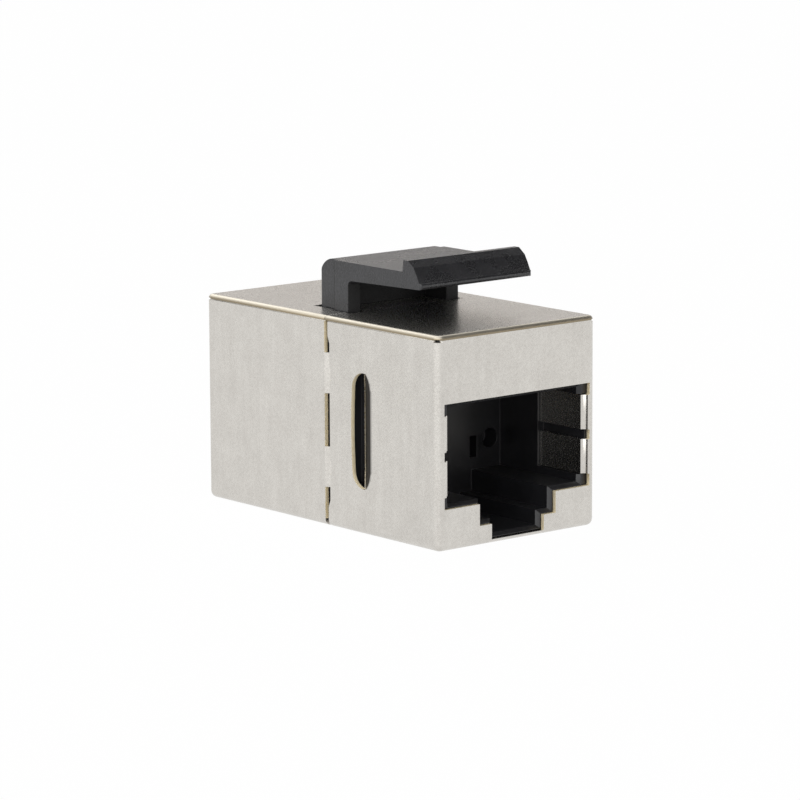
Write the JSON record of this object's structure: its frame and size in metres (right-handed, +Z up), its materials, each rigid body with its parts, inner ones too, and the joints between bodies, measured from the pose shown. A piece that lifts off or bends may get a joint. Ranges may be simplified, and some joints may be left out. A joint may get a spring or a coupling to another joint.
{
  "type": "rj45 inline coupler",
  "caption": "Metal-shelled modular jack coupler with a plug port at each end and a sprung snap latch on top, joining two network leads in a panel cut-out.",
  "frame": {"origin": "bottom centre of the shell, under the middle of its length", "axes": "+Z up towards the latch, -Y out of the front port, +Y out of the rear port, +X to the right seen from the front"},
  "size_m": [0.0144, 0.026, 0.0194],
  "materials": {
    "shell_metal": "satin nickel plate over pressed sheet brass",
    "latch_plastic": "matte black moulding",
    "moulding_plastic": "semi-matte black moulding",
    "comb_plastic": "matte black moulding",
    "board": "green lacquered glass-fibre board",
    "contact_gold": "gold-plated spring bronze"
  },
  "bodies": {
    "shell": {"front_shell": "shell_metal", "rear_shell": "shell_metal", "front_jack_moulding": "moulding_plastic", "rear_jack_moulding": "moulding_plastic", "centre_frame": "moulding_plastic", "circuit_board": "board", "front_contact_comb": "comb_plastic", "rear_contact_comb": "comb_plastic", "front_contact_1": "contact_gold", "front_contact_2": "contact_gold", "front_contact_3": "contact_gold", "front_contact_4": "contact_gold", "front_contact_5": "contact_gold", "front_contact_6": "contact_gold", "front_contact_7": "contact_gold", "front_contact_8": "contact_gold", "rear_contact_1": "contact_gold", "rear_contact_2": "contact_gold", "rear_contact_3": "contact_gold", "rear_contact_4": "contact_gold", "rear_contact_5": "contact_gold", "rear_contact_6": "contact_gold", "rear_contact_7": "contact_gold", "rear_contact_8": "contact_gold"},
    "latch": {"latch": "latch_plastic"}
  },
  "joints": [
    {"name": "latch_press", "type": "hinge", "parent": "shell", "child": "latch", "pos_m": [0, 0.0011, 0.014], "axis": [1, 0, 0], "range_deg": [0, 7], "stiffness_Nm_per_rad": 0.1}
  ]
}
